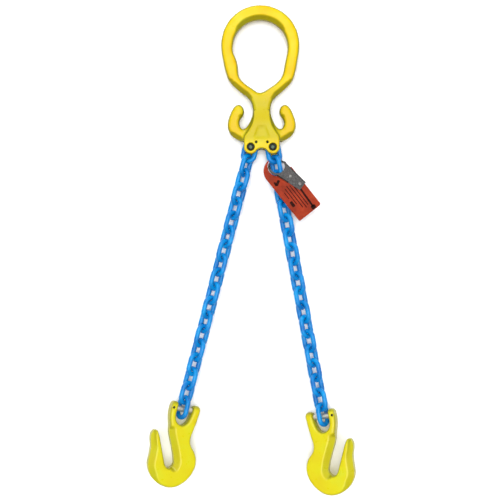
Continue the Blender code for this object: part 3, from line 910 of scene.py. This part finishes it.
def build_tag(joints, grey, orange, ink, steel, binding):
    eye_place = Vector(joints["tag_swing"]["pos_m"])
    eye = Matrix.Translation((eye_place.x, eye_place.y, 0))
    turn = Matrix.Translation((0, 0, STRAP_HIGH)) @ Matrix.Rotation(math.radians(TAIL_TURN), 4, "Z")
    hollow = arc((0, 0), 13.05, 56, -56, 24)
    corners = [(8.0, -12.2), (TAIL_LENGTH, -7.7), (TAIL_LENGTH, 7.7), (8.0, 12.2)]
    tail = sheet_mesh("strap_tail", hollow + rounded(corners, 1.2, 4), TAIL_THICKNESS, 0.3 * MM)
    tail.transform(turn)
    strap = united(eye_mesh(), tail, "strap")
    new_piece("tag_webbing", strap, grey, "tag", eye, ["tag_strap"])
    # Black beads along the strap's edges: the thin upper one is the binding, the thick lower one is binding
    # and painted shadow of the strap on the plate.
    for name, sign, start, end, radius in (("upper", 1, 7.5, 50.8, 0.75), ("lower", -1, 8.5, 29.0, 1.1)):
        reaches = [start + (end - start) * i / 12 for i in range(13)]
        points = [Vector((reach, sign * (12.4 - 0.105 * reach), 0.6)) * MM for reach in reaches]
        bead = tube_mesh("binding", points, radius * MM)
        new_piece(f"tag_binding_{name}", bead, binding, "tag", eye @ turn)
    plate_frame = Matrix.Translation(eye_place - Vector((0.2 * MM, 7.8 * MM, eye_place.z - PLATE_Z)))
    plate_frame = plate_frame @ Matrix.Rotation(math.radians(PLATE_TURN), 4, "Z")
    build_plate(plate_frame, orange, ink)
    top = TAIL_THICKNESS / 2
    profile = [
        (0, top + 0.95 * MM), (1.0 * MM, top + 0.88 * MM), (1.8 * MM, top + 0.66 * MM),
        (2.35 * MM, top + 0.3 * MM), (2.3 * MM, top + 0.05 * MM), (1.35 * MM, top + 0.02 * MM),
        (1.35 * MM, -3.0 * MM), (2.2 * MM, -3.0 * MM), (2.2 * MM, -3.5 * MM), (0, -3.55 * MM),
    ]
    rivet = lathe("rivet", profile)
    for number, reach in enumerate(RIVET_PLACES, 1):
        place = eye @ turn @ Matrix.Translation((reach, 0, 0))
        node = f"tag_rivet_{number:02d}"
        new_piece(f"tag_rivet_head_{number}", rivet, steel, "tag", place, [node])


def build_plate(frame, orange, ink):
    wide, long = PLATE_HALF_WIDTH, PLATE_LENGTH
    round_end = arc((0, 0), wide, 270, 180, 26)
    cut = arc(PLATE_CUT, PLATE_CUT_RADIUS, 198, 400, 42)
    outline = plate_corners(long, wide) + round_end + cut + [(8.0, wide)]
    mesh = sheet_mesh("plate", outline, PLATE_THICKNESS, 0.35 * MM)
    new_piece("tag_id_plate", mesh, orange, "tag", frame, ["tag_plate"])
    lift = Matrix.Translation((0, 0, PLATE_THICKNESS / 2 + 0.05 * MM))
    for number, (start, end, width) in enumerate(PLATE_STROKES, 1):
        mesh = bar_mesh("stroke", start, end, width)
        new_piece(f"tag_ruled_line_{number}", mesh, ink, "tag", frame @ lift)


def plate_corners(long, wide, radius=3.0):
    """The two rounded corners of the plate's square end, from its upper edge to its lower edge."""
    upper = arc((long - radius, wide - radius), radius, 90, 0, 6)
    lower = arc((long - radius, radius - wide), radius, 0, -90, 6)
    return upper + lower


# ------------------------------------------------------------- floor and light


def build_stage(focus):
    bm = bmesh.new()
    bmesh.ops.create_grid(bm, x_segments=1, y_segments=1, size=FLOOR_HALF)
    floor = bpy.data.objects.new("floor", mesh_from(bm, "floor"))
    bpy.context.scene.collection.objects.link(floor)
    floor.location.z = -FLOOR_DROP
    made = Shader("pale_floor", 0.9)
    made.link(
        made.ramp(made.noise(3, 2), [(0.3, (0.93, 0.93, 0.93, 1)), (0.7, (0.95, 0.95, 0.95, 1))]),
        made.main.inputs["Base Color"],
    )
    floor.data.materials.append(made.material)
    build_world()
    add_light("key", KEY_PLACE, focus, KEY_SIZE, KEY_POWER)


def build_world():
    """A white room: bright overhead, and brighter beyond the master link (+Y) than behind the hooks."""
    world = bpy.data.worlds.new("studio")
    bpy.context.scene.world = world
    world.use_nodes = True
    tree = world.node_tree
    tree.nodes["Background"].inputs["Color"].default_value = (1, 1, 1, 1)
    place = tree.nodes.new("ShaderNodeTexCoord")
    parts = tree.nodes.new("ShaderNodeSeparateXYZ")
    tree.links.new(place.outputs["Generated"], parts.inputs["Vector"])
    total = tree.nodes.new("ShaderNodeMath")
    spans = (("Y", -0.9, 0.7, WORLD_DIM, WORLD_BRIGHT), ("Z", 0.86, 0.96, 0.0, WORLD_TOP))
    for number, (axis, start, end, low, high) in enumerate(spans):
        spread = tree.nodes.new("ShaderNodeMapRange")
        spread.interpolation_type = "SMOOTHSTEP"
        for name, value in (("From Min", start), ("From Max", end), ("To Min", low), ("To Max", high)):
            spread.inputs[name].default_value = value
        tree.links.new(parts.outputs[axis], spread.inputs["Value"])
        tree.links.new(spread.outputs["Result"], total.inputs[number])
    tree.links.new(total.outputs["Value"], tree.nodes["Background"].inputs["Strength"])


def add_light(name, place, target, size, power):
    data = bpy.data.lights.new(name, "AREA")
    data.shape = "RECTANGLE"
    data.size, data.size_y = size
    data.energy = power
    light = bpy.data.objects.new(name, data)
    bpy.context.scene.collection.objects.link(light)
    light.location = place
    light.rotation_euler = (Vector(target) - Vector(place)).to_track_quat("-Z", "Y").to_euler()


def build_camera():
    data = bpy.data.cameras.new("camera")
    camera = bpy.data.objects.new("camera", data)
    bpy.context.scene.collection.objects.link(camera)
    camera.location = CAMERA_PLACE
    data.sensor_width = 36.0
    data.lens = 36.0 * (CAMERA_PLACE[2] - GROUND_MIDDLE_Z) / CAMERA_SPAN
    data.clip_start, data.clip_end = 0.05, 20.0
    bpy.context.scene.camera = camera


def main():
    for obj in list(bpy.data.objects):
        bpy.data.objects.remove(obj, do_unlink=True)
    bpy.context.scene.view_settings.view_transform = "Standard"
    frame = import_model()
    nodes = frame["nodes"]
    joints = {joint["name"]: joint for joint in frame["joints"]}
    black = black_steel()
    # Both enamels carry painted olive shade in hollows and on steep walls; the head's also carries a painted
    # light tone in lime.
    head_enamel_and_shade = yellow_paint("head_enamel_and_shade", 0.16, srgb(168, 158, 12), 0.8)
    hook_enamel_and_shade = yellow_paint("hook_enamel_and_shade", 0.3, srgb(166, 196, 8), 0.5)
    build_camera()
    build_stage((0, 0, 0))
    build_chain(nodes, blue_paint())
    build_head(nodes, joints, head_enamel_and_shade, black, pin_face())
    zinc = zinc_plate()
    build_hooks(nodes, joints, hook_enamel_and_shade, zinc, black)
    build_tag(joints, strap_webbing(), orange_plate(), plate_ink(), dull_steel(), dark_edge_and_shadow())


main()
